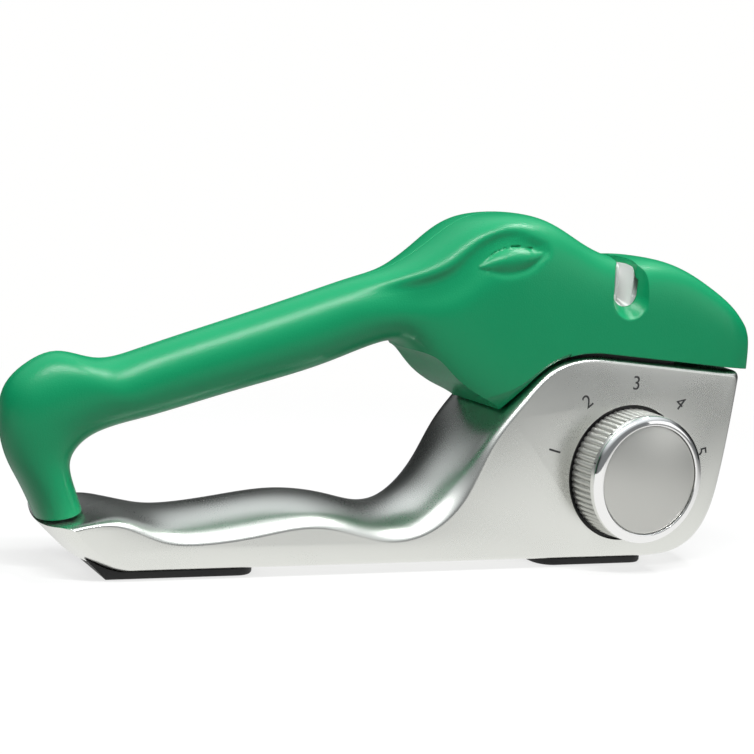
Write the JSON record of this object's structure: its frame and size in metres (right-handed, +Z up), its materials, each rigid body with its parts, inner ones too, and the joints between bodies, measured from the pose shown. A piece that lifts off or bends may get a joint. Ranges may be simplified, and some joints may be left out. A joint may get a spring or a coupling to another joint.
{
  "type": "pull through knife sharpener",
  "caption": "Hand-held pull through knife sharpener: green closed-loop grip with a knife slot, silver base, and a knurled dial that turns a drum of sharpening rods under the slot.",
  "frame": {"origin": "on the table under the dial axis, on the parting plane of the casings, on the underside of the head foot pad", "axes": "+X along the body towards the nose, +Y away from the dial, +Z up"},
  "size_m": [0.2423, 0.0527, 0.1078],
  "materials": {
    "green_plastic": "satin, fine grain",
    "silver_paint": "satin metallic paint on plastic",
    "silver_plastic": "satin metallic",
    "bezel_chrome": "bright plated",
    "cap_satin": "satin",
    "white_plastic": "moulded",
    "black_plastic": "moulded",
    "black_rubber": "moulded",
    "steel": "turned",
    "zinc_steel": "zinc plated",
    "spring_steel": "rolled",
    "gear_plastic": "moulded acetal",
    "grey_plastic": "moulded",
    "carbide": "sintered",
    "diamond_grit": "diamond coated rod",
    "ceramic": "fired ceramic"
  },
  "bodies": {
    "root": {"base_shell_front": "silver_paint", "base_shell_rear": "silver_paint", "handle_shell_front": "green_plastic", "handle_shell_rear": "green_plastic", "slot_guide": "white_plastic", "tail_foot_pad": "black_rubber", "head_foot_pad": "black_rubber", "base_screws": "zinc_steel", "handle_screws": "zinc_steel", "drum_cradle": "grey_plastic", "cradle_screws": "zinc_steel", "drum_axle": "steel", "axle_clips": "spring_steel", "idler_pin": "steel", "dial_bushing": "black_plastic", "detent_spring": "spring_steel", "spring_screw": "zinc_steel"},
    "dial": {"dial_knob": "silver_plastic", "dial_bezel": "bezel_chrome", "dial_cap": "cap_satin", "knob_screw": "zinc_steel", "dial_shaft": "steel", "shaft_clip": "spring_steel", "drive_gear": "gear_plastic", "index_plate": "gear_plastic"},
    "idler": {"idler_gear": "gear_plastic", "idler_bush": "steel"},
    "drum": {"stage_drum": "white_plastic", "drum_end_cover": "grey_plastic", "drum_gear": "gear_plastic", "coarse_blades": "carbide", "diamond_rods": "diamond_grit", "ceramic_rods": "ceramic", "bread_knife_rods": "ceramic", "scissor_rods": "ceramic"}
  },
  "joints": [
    {"name": "dial_turn", "type": "hinge", "parent": "root", "child": "dial", "pos_m": [0, -0.02, 0.03], "axis": [0, 1, 0], "range_deg": [-80, 80], "deforming": ["detent_spring"]},
    {"name": "idler_turn", "type": "hinge", "parent": "root", "child": "idler", "pos_m": [0.00086, -0.013, 0.0542], "axis": [0, 1, 0], "range_deg": [-99, 99]},
    {"name": "drum_turn", "type": "hinge", "parent": "root", "child": "drum", "pos_m": [-0.005, 0, 0.07152], "axis": [0, 1, 0], "range_deg": [-145, 145]}
  ],
  "couplings": [
    {"joint": "idler_turn", "follows": "dial_turn", "ratio": -1.2273},
    {"joint": "drum_turn", "follows": "dial_turn", "ratio": 1.8}
  ]
}
